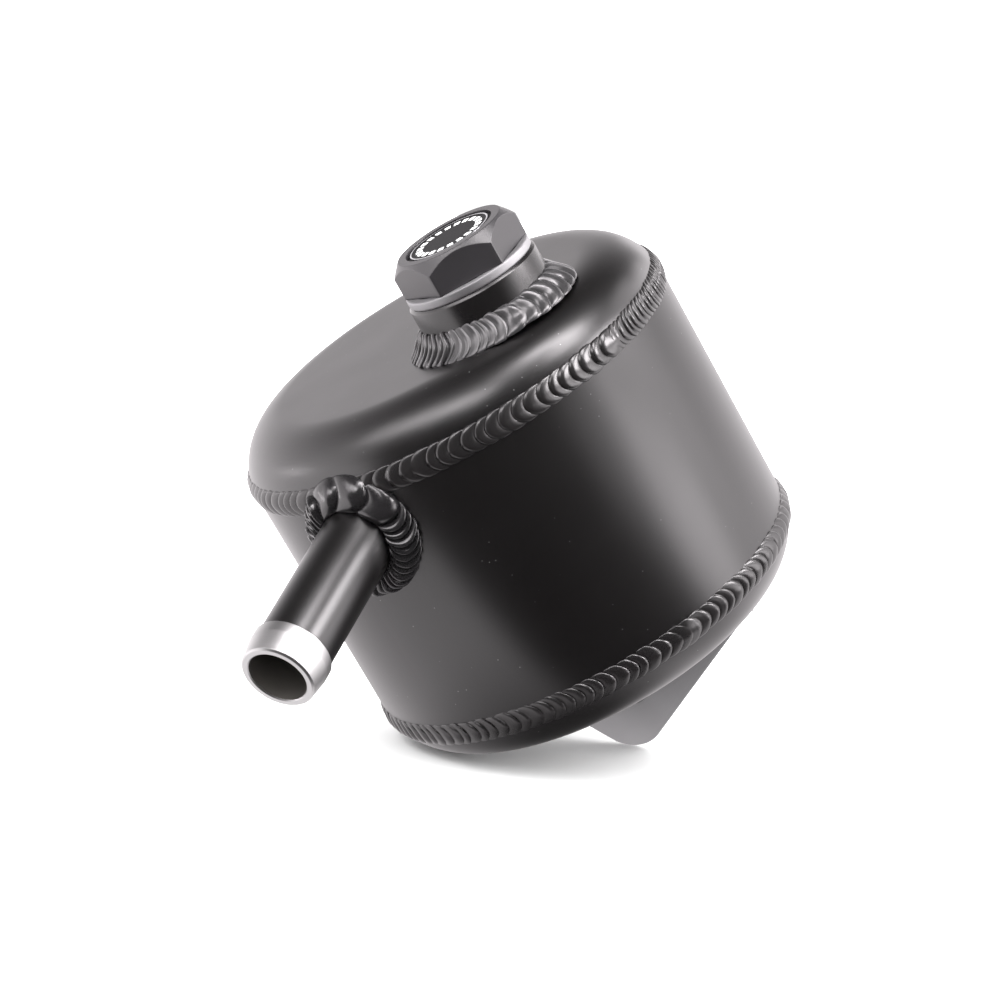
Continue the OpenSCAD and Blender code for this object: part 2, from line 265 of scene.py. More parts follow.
class Graph:
    """The shader nodes of a material or a world, with short ways to add the common ones."""

    def __init__(self, owner):
        owner.use_nodes = True
        self.nodes = owner.node_tree.nodes
        self.links = owner.node_tree.links
        self.nodes.clear()

    def node(self, kind, inputs=None, **settings):
        """Adds a node. Each input is given a fixed value, or the output that feeds it."""
        node = self.nodes.new("ShaderNode" + kind)
        for name, value in settings.items():
            setattr(node, name, value)
        for key, value in (inputs or {}).items():
            if isinstance(value, bpy.types.NodeSocket):
                self.links.new(value, node.inputs[key])
            else:
                node.inputs[key].default_value = value
        return node

    def maths(self, operation, *values):
        return self.node("Math", dict(enumerate(values)), operation=operation).outputs[0]

    def vector(self, operation, *values):
        """The new vector. dot and length give the number instead."""
        return self.node("VectorMath", dict(enumerate(values)), operation=operation).outputs[0]

    def dot(self, first, second):
        return self.node("VectorMath", {0: first, 1: second}, operation="DOT_PRODUCT").outputs["Value"]

    def length(self, source):
        return self.node("VectorMath", {0: source}, operation="LENGTH").outputs["Value"]

    def ramp(self, source, start, end=(0, 1), shape="LINEAR"):
        """Takes a value from the span start to the span end."""
        inputs = dict(zip(("From Min", "From Max", "To Min", "To Max"), (*start, *end)))
        inputs["Value"] = source
        return self.node("MapRange", inputs, interpolation_type=shape).outputs["Result"]

    def blend(self, factor, first, last):
        """Mixes two colours."""
        inputs = {"Factor": factor, "A": first, "B": last}
        return self.node("Mix", inputs, data_type="RGBA").outputs["Result"]

    def choose(self, shader, choices):
        """A shader, with another in its place where each choice's factor says so."""
        for factor, other in choices:
            shader = self.node("MixShader", {"Fac": factor, 1: shader.outputs[0], 2: other.outputs[0]})
        return shader


def new_material(name):
    material = bpy.data.materials.new(name)
    return material, Graph(material)


def flat_piece(name, corners):
    mesh = bpy.data.meshes.new(name)
    mesh.from_pydata([tuple(corner) for corner in corners], [], [tuple(range(len(corners)))])
    piece = bpy.data.objects.new(name, mesh)
    bpy.context.collection.objects.link(piece)
    return piece


def make_floor():
    """White paper for the camera. To every other ray it glows, with painted shade: a dark part near the
    camera, a shadow under the can and a weaker glow near it.
    """
    sides = ((-1, -1), (1, -1), (1, 1), (-1, 1))
    floor = flat_piece("floor", [on_floor(x * FLOOR_HALF, y * FLOOR_HALF) for x, y in sides])
    material, graph = new_material("floor_white")
    place = graph.node("NewGeometry").outputs
    ray = graph.node("LightPath").outputs

    def from_spot(right, ahead):
        return graph.vector("SUBTRACT", place["Position"], on_floor(right * CAN_R, ahead * CAN_R))

    def smooth(source, low, high, end=(0, 1)):
        return graph.ramp(source, (low * CAN_R, high * CAN_R), end, "SMOOTHSTEP")

    # Painted shade: the dark part of the floor's glow near the camera
    dark = []
    for spot, (right, ahead) in PAINTED_DARK_SIDES:
        past_edge = graph.dot(from_spot(*spot), FLOOR_RIGHT * right + ROOM_AHEAD * ahead)
        dark.append(smooth(past_edge, -PAINTED_DARK_EDGE, PAINTED_DARK_EDGE))
    open_part = graph.maths("MULTIPLY_ADD", graph.maths("MULTIPLY", *dark), -PAINTED_DARK_SHARE, 1)
    # Painted shadow in the floor's glow under the can
    off_spot = graph.length(from_spot(*PAINTED_SHADOW_SPOT))
    painted_shadow = smooth(off_spot, *PAINTED_SHADOW_SPAN, (PAINTED_SHADOW_LIGHT, 1))
    # Painted shade: the floor's glow is weaker near the can
    reach = smooth(off_spot, *MIRRORED_SPAN, (MIRRORED_NEAR, MIRRORED_FAR))
    strength = graph.maths("MULTIPLY", graph.maths("MULTIPLY", open_part, painted_shadow), reach)
    mirrored = graph.node("Emission", {"Color": (*TINT, 1), "Strength": strength})
    paper = graph.node("BsdfDiffuse", {"Color": (PAPER, PAPER, PAPER, 1)})
    clear = graph.node("BsdfTransparent")
    last = graph.choose(mirrored, ((ray["Is Camera Ray"], paper), (place["Backfacing"], clear)))
    graph.node("OutputMaterial", {"Surface": last.outputs[0]})
    floor.data.materials.append(material)


def make_softbox(name, azimuth, height, away, width, depth, radiance):
    light = bpy.data.lights.new(name, "AREA")
    light.shape = "RECTANGLE"
    light.size = width
    light.size_y = depth
    light.energy = radiance * math.pi * width * depth
    light.color = TINT
    box = bpy.data.objects.new(name, light)
    bpy.context.collection.objects.link(box)
    way = Vector(toward(azimuth, height))
    spot = in_room(way.x * away, way.y * away, way.z * away)
    back = (spot - SEAM_MIDDLE).normalized()
    side = ROOM_UP.cross(back).normalized()
    turn = Matrix((side, back.cross(side), back)).transposed().to_4x4()
    box.matrix_world = Matrix.Translation(spot) @ turn
    box.visible_camera = False
    box.visible_diffuse = False


def make_world():
    world = bpy.data.worlds.new("studio")
    bpy.context.scene.world = world
    graph = Graph(world)
    ray = graph.node("LightPath").outputs
    way = graph.node("TexCoord").outputs["Generated"]
    white = (1, 1, 1, 1)

    def along(axis, start, end):
        return graph.ramp(graph.dot(way, axis), start, end, "SMOOTHSTEP")

    ahead = along(ROOM_AHEAD, ROOM_AHEAD_SPAN, (0, 1))
    band = along(ROOM_UP, ROOM_HEIGHTS, (ROOM_LIGHT, 0))
    lit = graph.maths("MULTIPLY_ADD", ahead, band, ROOM_LEAST)
    room = graph.node("Background", {"Color": (*TINT, 1), "Strength": lit})
    overhead = along(FLOOR_UP, SKY_HEIGHTS, (LOW_SKY, HIGH_SKY))
    sky = graph.node("Background", {"Color": white, "Strength": overhead})
    backdrop = graph.node("Background", {"Color": white, "Strength": BACKDROP})
    last = graph.choose(room, ((ray["Is Diffuse Ray"], sky), (ray["Is Camera Ray"], backdrop)))
    graph.node("OutputWorld", {"Surface": last.outputs[0]})


def make_studio():
    bpy.context.scene.view_settings.view_transform = "Standard"
    make_world()
    make_floor()
    for softbox in SOFTBOXES:
        make_softbox(*softbox)


# Materials: each is a function that returns a finished material

# The slow change of gloss and shade over a surface: features per metre, and the part of the noise in use
SLOW_SCALE = 60
SLOW_DETAIL = 3
SLOW_SPAN = (0.3, 0.7)
FINE_DETAIL = 2
# Darkest and lightest shade, as shares of the colour, and how far the roughness goes each way
GRAINED_SHADES = (0.8, 1.25)
GRAINED_VARY = 0.015
TURNED_SHADES = (0.85, 1.1)
TURNED_VARY = 0.03
TURNED_PITCH = 0.12 * MM
TURNED_DETAIL = 3
# One speck of dust in each cell
DUST_CELL = 2.7 * MM
DUST_COLOUR = (0.22, 0.22, 0.22, 1)


def shades(colour, shares):
    return [(*(min(1, share * part) for part in colour), 1) for share in shares]


def finish_material(graph, inputs, height, depth):
    """Ends a material with a principled shader that has these inputs and a fine relief."""
    normal = graph.node("Bump", {"Distance": depth, "Height": height}).outputs["Normal"]
    shader = graph.node("BsdfPrincipled", {**inputs, "Normal": normal})
    graph.node("OutputMaterial", {"Surface": shader.outputs[0]})


def speckle(graph, coord, size):
    """1 in sparse dust specks, 0 elsewhere."""
    cells = graph.node("TexVoronoi", {"Scale": 1 / DUST_CELL, "Vector": coord})
    return graph.ramp(cells.outputs["Distance"], (size / DUST_CELL, 0.5 * size / DUST_CELL))


def grained(name, colour, metallic, roughness, grain=0.35 * MM, depth=0.006 * MM, dust=0.0, ior=1.76):
    """A satin surface with a fine grain, a slow change of gloss and, if asked, dust specks."""
    material, graph = new_material(name)
    coord = graph.node("TexCoord").outputs["Object"]

    def noisy(scale, detail):
        return graph.node("TexNoise", {"Scale": scale, "Detail": detail, "Vector": coord}).outputs["Fac"]

    slow = noisy(SLOW_SCALE, SLOW_DETAIL)
    gloss = graph.ramp(slow, SLOW_SPAN, (roughness - GRAINED_VARY, roughness + GRAINED_VARY))
    base = graph.blend(slow, *shades(colour, GRAINED_SHADES))
    if dust:
        base = graph.blend(speckle(graph, coord, dust), base, DUST_COLOUR)
    inputs = {"Base Color": base, "Metallic": metallic, "Roughness": gloss, "IOR": ior}
    finish_material(graph, inputs, noisy(1 / grain, FINE_DETAIL), depth)
    return material


def turned(name, colour, roughness, axis_point, axis, depth=0.004 * MM, along=True):
    """Bright turned metal. Its fine rings follow each other along an axis, or else outwards from it."""
    material, graph = new_material(name)
    coord = graph.node("TexCoord").outputs["Object"]
    place = graph.vector("SUBTRACT", coord, axis_point)
    if along:
        run = graph.dot(place, axis)
    else:
        run = graph.length(graph.vector("CROSS_PRODUCT", place, axis))
    rings = {"W": graph.maths("DIVIDE", run, TURNED_PITCH), "Scale": 1, "Detail": TURNED_DETAIL}
    lines = graph.node("TexNoise", rings, noise_dimensions="1D").outputs["Fac"]
    base = graph.blend(lines, *shades(colour, TURNED_SHADES))
    gloss = graph.ramp(lines, (0, 1), (roughness - TURNED_VARY, roughness + TURNED_VARY))
    finish_material(graph, {"Base Color": base, "Metallic": 1, "Roughness": gloss}, lines, depth)
    return material


# Mesh making

SHARP = math.radians(38)
PLUG_SHARP = math.radians(30)
WELD_SHARP = math.radians(70)
# Points nearer than this are one
MERGE = 1e-7
# Steps round the can, the smaller turned pieces, the plug and a bar that cuts
CAN_STEPS = 256
ROUND_STEPS = 160
PLUG_STEPS = 240
BAR_STEPS = 96


def around(r, a, z):
    return Vector((r * math.cos(a), r * math.sin(a), z))


def smooth_faces(bm, sharp=SHARP):
    for face in bm.faces:
        face.smooth = True
    for edge in bm.edges:
        edge.smooth = len(edge.link_faces) < 2 or edge.calc_face_angle(0) <= sharp


def finish_mesh(name, bm, materials, body, replaced, sharp=SHARP):
    """Turns a bmesh into a piece that rides on a body, stands for CAD nodes and has its materials."""
    bmesh.ops.remove_doubles(bm, verts=bm.verts, dist=MERGE)
    bmesh.ops.recalc_face_normals(bm, faces=bm.faces)
    smooth_faces(bm, sharp)
    mesh = bpy.data.meshes.new(name)
    bm.to_mesh(mesh)
    bm.free()
    for material in materials:
        mesh.materials.append(material)
    piece = bpy.data.objects.new(name, mesh)
    bpy.context.collection.objects.link(piece)
    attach(piece, body)
    if replaced:
        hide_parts(*replaced)
    return piece


def rounded(corners, steps=4):
    """Outline from (r, z, radius) corners: each corner with a radius becomes a short curve."""
    points = []
    for i, (r, z, radius) in enumerate(corners):
        here = Vector((r, z))
        if radius == 0:
            points.append((r, z))
            continue
        before = (Vector(corners[i - 1][:2]) - here).normalized()
        after = (Vector(corners[(i + 1) % len(corners)][:2]) - here).normalized()
        bend = math.pi - before.angle(after)
        reach = radius * math.tan(bend / 2)
        start = here + before * reach
        end = here + after * reach
        for k in range(steps + 1):
            t = k / steps
            p = start * (1 - t) ** 2 + here * 2 * t * (1 - t) + end * t ** 2
            points.append((p.x, p.y))
    return points


def spin(outline, steps, place, closed=True):
    """Skin of an outline, a list or a function of the angle, that is turned about the local Z axis."""
    bm = bmesh.new()
    rows = []
    for i in range(steps):
        a = TURN * i / steps
        points = outline(a) if callable(outline) else outline
        rows.append([bm.verts.new(place @ around(r, a, z)) for r, z in points])
    count = len(rows[0])
    for i in range(steps):
        row = rows[i]
        following = rows[(i + 1) % steps]
        for j in range(count if closed else count - 1):
            k = (j + 1) % count
            bm.faces.new((row[j], following[j], following[k], row[k]))
    return bm


def tail_place(mount_name):
    """Frame of a hose tail: Z runs out along it from the can's axis."""
    axis = Vector(mount(mount_name)["axis"])
    start = Vector((0, 0, TAIL_CROSS_Z))
    side = Vector((0, 0, 1)).cross(axis).normalized()
    up = axis.cross(side)
    turn = Matrix((up, side, axis)).transposed()
    return Matrix.Translation(start) @ turn.to_4x4()


BOSS_PLACE = Matrix.Translation(BOSS_AT)
INLET = tail_place("inlet_bore")
OUTLET = tail_place("outlet_bore")


def cut(piece, cutters):
    """Cuts round bars, given as (place, radius, from, to), out of a piece."""
    for i, (place, radius, start, end) in enumerate(cutters):
        bar = bpy.data.meshes.new("bar")
        outline = [(0, start), (radius, start), (radius, end), (0, end)]
        bm = spin(outline, BAR_STEPS, place, closed=False)
        bmesh.ops.remove_doubles(bm, verts=bm.verts, dist=MERGE)
        bmesh.ops.recalc_face_normals(bm, faces=bm.faces)
        bm.to_mesh(bar)
        bm.free()
        tool = bpy.data.objects.new("bar", bar)
        bpy.context.collection.objects.link(tool)
        boolean = piece.modifiers.new(f"cut{i}", "BOOLEAN")
        boolean.object = tool
        boolean.operation = "DIFFERENCE"
        boolean.solver = "EXACT"
        view = bpy.context.evaluated_depsgraph_get()
        mesh = bpy.data.meshes.new_from_object(piece.evaluated_get(view))
        piece.modifiers.clear()
        bm = bmesh.new()
        bm.from_mesh(mesh)
        smooth_faces(bm)
        bm.to_mesh(mesh)
        bm.free()
        old = piece.data
        piece.data = mesh
        bpy.data.meshes.remove(old)
        bpy.data.objects.remove(tool)
        bpy.data.meshes.remove(bar)


# The can

KNUCKLE_STEP = math.radians(3)


def knuckle(radius):
    """Rounded edge of a cap, from the seam to the flat, as (r, height over the seam)."""
    centre_h = CAP_RISE - KNUCKLE_R
    start = math.asin(-centre_h / radius)
    steps = math.ceil((math.pi / 2 - start) / KNUCKLE_STEP)
    return [
        (FLAT_R + radius * math.cos(a), centre_h + radius * math.sin(a))
        for a in (start + (math.pi / 2 - start) * k / steps for k in range(steps + 1))
    ]


def make_can_body(black):
    lip = 0.2 * MM
    bore = CAN_R - WALL
    outline = rounded([
        (CAN_R, SEAM_LOW, lip), (CAN_R, SEAM_TOP, lip), (bore, SEAM_TOP, lip), (bore, SEAM_LOW, lip)])
    bm = spin(outline, CAN_STEPS, Matrix())
    piece = finish_mesh("tube", bm, [black], "root", ["can_body"])
    cut(piece, [(place, TAIL_R + SLIP, CAN_R / 2, CAN_R * 1.5) for place in (INLET, OUTLET)])


def cap_outline():
    outer = knuckle(KNUCKLE_R)
    inner = knuckle(KNUCKLE_R - WALL)
    hold_r = FLAT_R - 1.5 * MM
    under = CAP_RISE - WALL
    flat = [(hold_r, CAP_RISE), (0, CAP_RISE), (0, under), (hold_r, under)]
    return outer + flat + inner[::-1] + [outer[0]]


def make_caps(black):
    top = spin(cap_outline(), CAN_STEPS, Matrix.Translation((0, 0, SEAM_TOP)), closed=False)
    top_piece = finish_mesh("cap_over", top, [black], "root", ["top_cap"])
    past = 5 * MM
    cut(top_piece, [(BOSS_PLACE, BOSS_NECK_R + SLIP, SEAM_TOP, TOP + past)])
    flip = Matrix.Translation((0, 0, SEAM_LOW)) @ Matrix.Scale(-1, 4, (0, 0, 1))
    low = spin(cap_outline(), CAN_STEPS, flip, closed=False)
    finish_mesh("cap_under", low, [black], "root", ["bottom_cap"])


# Filler boss, plug and washer

def thread_wave(z, a):
    """Depth of a thread's groove, 0 to 1, at a height and an angle."""
    steepness = 1.25
    crest = 0.12
    phase = (z / THREAD_PITCH - a / TURN) % 1
    return min(1, max(0, steepness * (1 - abs(2 * phase - 1)) - crest))


def make_boss(black):
    chamfer = 0.6 * MM
    sink = 0.9 * MM
    edge = 0.1 * MM
    rows = 64
    bore = THREAD_R + SLIP
    first = BOSS_TOP - 1.2 * MM
    last = BOSS_LOW + 0.6 * MM

    def outline(a):
        outer = rounded([
            (BOSS_NECK_R, BOSS_LOW, 2 * edge), (BOSS_NECK_R, TOP, 0), (BOSS_R, TOP, 0),
            (BOSS_R, BOSS_TOP - chamfer, edge), (BOSS_R - chamfer, BOSS_TOP, edge),
            (bore + sink, BOSS_TOP, 0), (bore, BOSS_TOP - sink, 0)], 2)
        inner = [
            (bore + THREAD_DEPTH * 0.9 * thread_wave(z, a), z)
            for z in (first + (last - first) * k / rows for k in range(rows + 1))
        ]
        return outer + inner + [(bore, BOSS_LOW)]

    bm = spin(outline, ROUND_STEPS, BOSS_PLACE)
    finish_mesh("boss", bm, [black], "root", ["filler_boss"])


def hexagon_r(a):
    """Distance from the hexagon's axis to its side, with corners a little rounded."""
    part = (a - HEX_TURN) % (TURN / 6) - TURN / 12
    return min(HEX_AF / 2 / math.cos(part), HEX_CORNER_R - 0.1 * MM)


def make_plug(black, thread_metal):
    rows = 56
    edge = 0.3 * MM
    slope = HEX_BEVEL_H / (HEX_CORNER_R - HEX_RIM_R)
    thread_top = WASHER_LOW - UNDERCUT
    neck_r = THREAD_R - 1 * MM
    lead = 1.2 * MM
    floor_z = HEX_TOP - RECESS_DEPTH

    def outline(a):
        r = hexagon_r(a)
        scallop = HEX_TOP - (r - HEX_RIM_R) * slope
        shank = [
            (THREAD_R - lead + min(lead, z - SHANK_LOW) - THREAD_DEPTH * thread_wave(z, a), z)
            for z in (SHANK_LOW + (thread_top - SHANK_LOW) * k / rows for k in range(rows + 1))
        ]
        neck = [(neck_r, thread_top), (neck_r, WASHER_LOW), (THREAD_R, WASHER_LOW), (THREAD_R, HEX_LOW)]
        bevel = [
            (r + (HEX_RIM_R - r) * part, scallop + (HEX_TOP - scallop) * part, 0) for part in (0.2, 0.8)]
        head = rounded([
            (r - 2 * edge, HEX_LOW, 0), (r, HEX_LOW, edge), (r, HEX_LOW + 2 * edge, 0),
            (r, scallop - edge, 0), (r, scallop, edge), *bevel, (HEX_RIM_R, HEX_TOP, edge),
            (HEX_RIM_R - edge, HEX_TOP, 0), (RECESS_R + edge, HEX_TOP, 0), (RECESS_R, HEX_TOP, 0.4 * edge),
            (RECESS_R, floor_z, 0)])
        return [(0, SHANK_LOW)] + shank + neck + head + [(0, floor_z)]

    bm = spin(outline, PLUG_STEPS, BOSS_PLACE, closed=False)
    metals = [black, thread_metal]
    finish_mesh("plug", bm, metals, "plug", ["filler_plug"], PLUG_SHARP)


def make_disc(face, ring, mark):
    """The recess's disc: a bright turned edge and a plain ring of short marks like those on a dial."""
    low = HEX_TOP - RECESS_DEPTH
    top = low + DISC_T
    outer = RECESS_R - 0.9 * MM
    rim_w = 0.35 * MM
    rim_top = top + 0.12 * MM
    edge = 0.06 * MM
    gap = 0.1 * MM
    outline = rounded([
        (RECESS_R - gap, low, 0), (RECESS_R - gap, low + gap, 0), (outer, low + gap, 0),
        (outer, rim_top, edge), (outer - rim_w, rim_top, edge), (outer - rim_w - gap, top, 0)], 2)
    bm = spin([(0, low)] + outline + [(0, top)], ROUND_STEPS, BOSS_PLACE, closed=False)
    for skin in bm.faces:
        spot = skin.calc_center_median() - BOSS_AT
        if outer - rim_w - 0.05 * MM < math.hypot(spot.x, spot.y) < outer + 0.02 * MM:
            skin.material_index = 1
    marks = 20
    mark_share = 0.62
    steps = 5
    inner_r = 0.68 * outer
    outer_r = 0.85 * outer
    raised = top + 0.04 * MM
    section = ((inner_r, top), (inner_r, raised), (outer_r, raised), (outer_r, top))
    for k in range(marks):
        rows = []
        for i in range(steps + 1):
            a = TURN * (k + mark_share * i / steps) / marks
            rows.append([bm.verts.new(BOSS_PLACE @ around(r, a, z)) for r, z in section])
        quads = [(rows[i][j], rows[i + 1][j], rows[i + 1][(j + 1) % 4], rows[i][(j + 1) % 4])
                 for i in range(steps) for j in range(4)]
        for quad in quads + [rows[0], rows[-1][::-1]]:
            bm.faces.new(quad).material_index = 2
    finish_mesh("disc", bm, [face, ring, mark], "plug", ["plug_disc"])


def make_washer(metal, rubber):
    soft = 0.5 * MM
    edge = 0.1 * MM
    outline = rounded([
        (WASHER_R, WASHER_LOW, soft), (WASHER_R, HEX_LOW, soft),
        (SEAL_R, HEX_LOW, edge), (SEAL_R, WASHER_LOW, edge)], 5)
    bm = spin(outline, ROUND_STEPS, BOSS_PLACE)
    finish_mesh("washer", bm, [metal], "washer", ["plug_washer"])
    inner = THREAD_R + SLIP
    lip = 0.3 * MM
    seal = rounded([
        (SEAL_R, WASHER_LOW + lip, 0), (SEAL_R, HEX_LOW - lip, 0), (inner + soft, HEX_LOW, 2 * edge),
        (inner, HEX_LOW - lip, 0), (inner, WASHER_LOW + lip, 0), (inner + soft, WASHER_LOW, 2 * edge)], 3)
    bm = spin(seal, ROUND_STEPS, BOSS_PLACE)
    finish_mesh("seal", bm, [rubber], "washer", ["washer_seal"])


# Hose tails

def make_tail(name, place, node, metals):
    """A hose tail. Its metals are those of the tube, of the tip and of the bore."""
    step = 0.5 * MM
    band = 2.4 * MM
    bevel = 0.4 * MM
    edge = 0.1 * MM
    shoulder = 1.2 * MM
    mouth = 0.3 * MM
    tip = TAIL_END - TIP_L
    outline = rounded([
        (TAIL_R, TAIL_IN, 2 * edge), (TAIL_R, tip, 0),
        (TIP_R, tip + step, 2 * edge), (TIP_R, tip + step + band, shoulder),
        (TAIL_R, TAIL_END - bevel, 1.5 * edge), (TAIL_R - bevel, TAIL_END, edge),
        (TAIL_BORE_R + 0.25 * MM, TAIL_END, edge), (TAIL_BORE_R, TAIL_END - mouth, edge),
        (TAIL_BORE_R, TAIL_IN, edge)])
    bm = spin(outline, ROUND_STEPS, place)
    back = place.inverted()
    for face in bm.faces:
        spot = back @ face.calc_center_median()
        radius = math.hypot(spot.x, spot.y)
        if spot.z > tip + 0.02 * MM and radius > TAIL_BORE_R + 0.05 * MM:
            face.material_index = 1
        elif radius < TAIL_BORE_R + 0.15 * MM:
            face.material_index = 2
    finish_mesh(name, bm, metals, "root", [node])


def make_tab(satin):
    """The mounting tab, its outline and hole as drawn and its edges broken."""
    flat_angle = math.radians(1)
    edge_angle = math.radians(60)
    shown = frame["nodes"]["mounting_tab"]
    bm = bmesh.new()
    bm.from_mesh(shown.data)
    bm.transform(shown.matrix_world)
    bmesh.ops.remove_doubles(bm, verts=bm.verts, dist=1e-6)
    bmesh.ops.dissolve_limit(bm, angle_limit=flat_angle, verts=bm.verts, edges=bm.edges)
    rim = [
        edge for edge in bm.edges
        if len(edge.link_faces) == 2 and edge.calc_face_angle(0) > edge_angle
    ]
    bmesh.ops.bevel(bm, geom=rim, offset=0.45 * MM, segments=3, profile=0.5, affect="EDGES")
    finish_mesh("tab", bm, [satin], "root", ["mounting_tab"])


# Weld beads

# Stations along one ripple, and points across the bead
RIPPLE_STEPS = 14
BEAD_POINTS = 22
# The bead's skin: features per metre of its lumps and of its grain, and the grain's height
LUMP_SCALE = 260
GRAIN_SCALE = 900
GRAIN_HEIGHT = 0.012
# How far the skin lies below where it would just touch the metal, as a share of the bead's height
BEAD_SINK = 0.12
# Where across the bead its root is
ROOT_ACROSS = 0.8

def ripple_profile(x):
    """Height of one ripple along its pitch, 0 to 1: a slow rise to a rounded crest, then a steep fall."""
    crest = 0.66
    if x < crest:
        return math.sin(math.pi / 2 * x / crest) ** 0.75
    return math.cos(math.pi / 2 * (x - crest) / (1 - crest)) ** 0.65


def make_bead(name, node, material, place, count, length, section, half_w, height, seed, way=1, bow=0.75,
              depth=0.6, fine=(2, 0.015), lumps=0.04, spots=(), zones=()):
    """A closed run of ripples. section(s, u) gives the foot point and the outward normal at a length along
    the bead and a place across it, from -1 to 1. spots are (ripple, across, radius, rise) starts and stops.
    zones are (first ripple, last ripple, width, rise, fine), where the hand that welded it changed pace."""
    draw = random.Random(seed)
    widths = [draw.uniform(0.78, 1.22) for _ in range(count)]
    rises = [draw.uniform(0.75, 1.15) for _ in range(count)]
    spreads = [draw.uniform(0.95, 1.05) for _ in range(count)]
    shifts = [draw.uniform(-0.06, 0.06) for _ in range(count)]
    fines = [fine[1] * draw.uniform(0.2, 1.5) for _ in range(count)]
    for first, last, width, rise_there, fine_there in zones:
        for k in range(first, last + 1):
            widths[k % count] *= width
            rises[k % count] *= rise_there
            fines[k % count] *= fine_there
    total = sum(widths)
    starts = [0.0]
    for w in widths:
        starts.append(starts[-1] + w / total * count)
    pitch = length / count
    bm = bmesh.new()
    rows = []
    for k in range(count):
        for i in range(RIPPLE_STEPS):
            x = i / RIPPLE_STEPS
            q = starts[k] + x * (starts[k + 1] - starts[k])
            ripple = ripple_profile(x)
            row = []
            for j in range(BEAD_POINTS + 1):
                u = math.sin((2 * j / BEAD_POINTS - 1) * math.pi / 2)
                run = (q + bow * (1 - u * u)) * pitch
                dome = max(0.0, 1 - u * u) ** 0.5
                lines = fines[k] * math.sin(TURN * (fine[0] * x + 0.3 * u)) * math.sin(math.pi * x)
                rise = dome * (1 - depth + depth * ripple * rises[k] + lines)
                reach = u * spreads[k] * (0.94 + 0.08 * ripple) + shifts[k] * dome
                for spot_q, spot_u, radius, lift in spots:
                    past = (run / pitch - spot_q + count / 2) % count - count / 2
                    d = math.hypot(past, (u - spot_u) * half_w / pitch)
                    near = math.exp(-(d * pitch / radius) ** 2)
                    rise = rise * (1 - near) + near * lift
                foot, normal = section(way * run, reach)
                crumple = noise.noise(foot * GRAIN_SCALE) * GRAIN_HEIGHT
                crumple += noise.noise(foot * LUMP_SCALE) * lumps
                over = rise + crumple * dome - BEAD_SINK
                row.append(bm.verts.new(place @ (foot + normal * height * over)))
            for side in (ROOT_ACROSS, -ROOT_ACROSS):
                foot, normal = section(way * q * pitch, side)
                row.append(bm.verts.new(place @ (foot - normal * ROOT)))
            rows.append(row)
    for i, row in enumerate(rows):
        following = rows[(i + 1) % len(rows)]
        for j in range(len(row)):
            m = (j + 1) % len(row)
            bm.faces.new((row[j], following[j], following[m], row[m]))
    finish_mesh(name, bm, [material], "root", [node], WELD_SHARP)


def seam_section(z, way_up):
    """Foot of a seam's bead: the wall on one side of the seam and the cap's knuckle on the other."""
    half = SEAM_BEAD_W / 2
    start = math.asin((KNUCKLE_R - CAP_RISE) / KNUCKLE_R)

    def section(s, u):
        a = s / CAN_R
        v = u * half
        if v < 0:
            r, h, out, up = CAN_R, v, 1.0, 0.0
        else:
            t = start + v / KNUCKLE_R
            r = FLAT_R + KNUCKLE_R * math.cos(t)
            h = KNUCKLE_R * (math.sin(t) - math.sin(start))
            out, up = math.cos(t), math.sin(t)
        return around(r, a, z + way_up * h), around(out, a, way_up * up)

    return section


def boss_section(s, u):
    """Foot of the bead round the boss: a hollow curve from the cap to the boss's side."""
    a = s / (BOSS_R + BOSS_BEAD_W / 2)
    w = (u + 1) / 2
    low = Vector((BOSS_R + BOSS_BEAD_W, 0))
    bend = Vector((BOSS_R + 1.4 * MM, 1.3 * MM))
    high = Vector((BOSS_R, BOSS_BEAD_H))
    spot = low * (1 - w) ** 2 + bend * 2 * w * (1 - w) + high * w ** 2
    way = (bend - low) * (1 - w) + (high - bend) * w
    out = Vector((way.y, -way.x)).normalized()
    return around(spot.x, a, spot.y), around(out.x, a, out.y)


def can_radius(z):
    over = max(z - SEAM_TOP, SEAM_LOW - z) + KNUCKLE_R - CAP_RISE
    if over < KNUCKLE_R - CAP_RISE:
        return CAN_R
    return FLAT_R + math.sqrt(max(0.0, KNUCKLE_R ** 2 - over ** 2))


def on_wall(r, a):
    """Distance along a hose tail at which a point beside it meets the can's skin."""
    side = r * math.sin(a)
    up = r * math.cos(a)
    z = TAIL_CROSS_Z - CAN_R * math.tan(TAIL_SLOPE) + up / math.cos(TAIL_SLOPE)
    reach = math.sqrt(can_radius(z) ** 2 - side ** 2)
    return (reach - up * math.sin(TAIL_SLOPE)) / math.cos(TAIL_SLOPE)


TAIL_BEAD_MID = (TAIL_R + TAIL_BEAD_R) / 2


def tail_section(s, u):
    """Foot of the bead round a hose tail: a chord from the can's skin to the tail's side."""
    a = s / TAIL_BEAD_MID
    w = (u + 1) / 2
    r = TAIL_BEAD_R + (TAIL_R - TAIL_BEAD_R) * w
    t = on_wall(r, a) + TAIL_BEAD_H * w
    across = math.hypot(TAIL_BEAD_R - TAIL_R, TAIL_BEAD_H)
    out = TAIL_BEAD_H / across
    up = (TAIL_BEAD_R - TAIL_R) / across
    return around(r, a, t), around(out, a, up)


def ripples(length):
    return round(length / RIPPLE_PITCH)


def angle_to_ripple(angle_deg, count, way=1):
    return (way * math.radians(angle_deg) / TURN * count) % count


